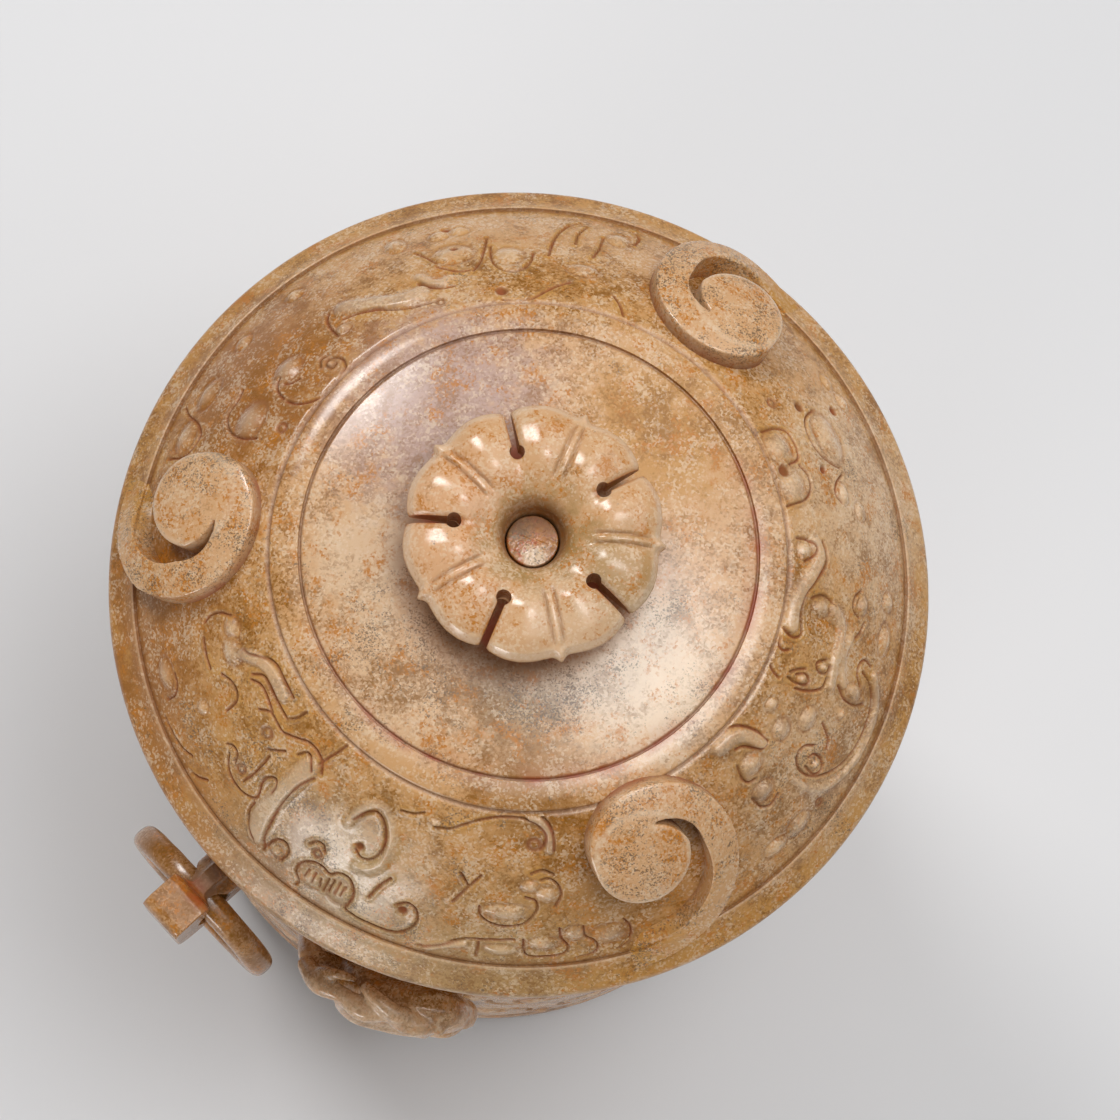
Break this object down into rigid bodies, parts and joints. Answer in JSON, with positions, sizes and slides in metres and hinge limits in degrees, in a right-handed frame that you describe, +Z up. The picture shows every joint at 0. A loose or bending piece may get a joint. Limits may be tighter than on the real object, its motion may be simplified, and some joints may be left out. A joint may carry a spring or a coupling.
{
  "type": "lidded jade cup",
  "caption": "Cylindrical jade cup with a domed carved lid, flower knob, scroll knobs, a loose ring in a wall lug, a climbing dragon and low feet.",
  "frame": {"origin": "on the axis of the cup, on the plane that the three feet stand on", "axes": "+Z up along the axis of the cup; the ring lug stands at 215 degrees and the first scroll knob at 42.5 degrees, both anticlockwise from +X seen from above"},
  "size_m": [0.0891, 0.0889, 0.123],
  "materials": {
    "brown_jade": "gloss",
    "ochre_jade": "gloss",
    "grey_jade": "gloss",
    "dark_jade": "gloss"
  },
  "bodies": {
    "cup": {"cup_body": "brown_jade", "ring_lug": "dark_jade", "climbing_dragon": "brown_jade", "foot_1": "dark_jade", "foot_2": "dark_jade", "foot_3": "dark_jade"},
    "lid": {"lid": "brown_jade", "flower_finial": "ochre_jade", "finial_peg": "grey_jade", "scroll_knob_1": "ochre_jade", "scroll_knob_2": "ochre_jade", "scroll_knob_3": "ochre_jade"},
    "ring": {"hanging_ring": "ochre_jade"}
  },
  "joints": [
    {"name": "lid_lift", "type": "slide", "parent": "cup", "child": "lid", "axis": [0, 0, 1], "range_m": [0, 0.12]},
    {"name": "ring_swing", "type": "hinge", "parent": "cup", "child": "ring", "pos_m": [-0.03834, -0.02684, 0.085], "axis": [-0.5736, 0.8192, 0], "range_deg": [-15, 170]}
  ]
}
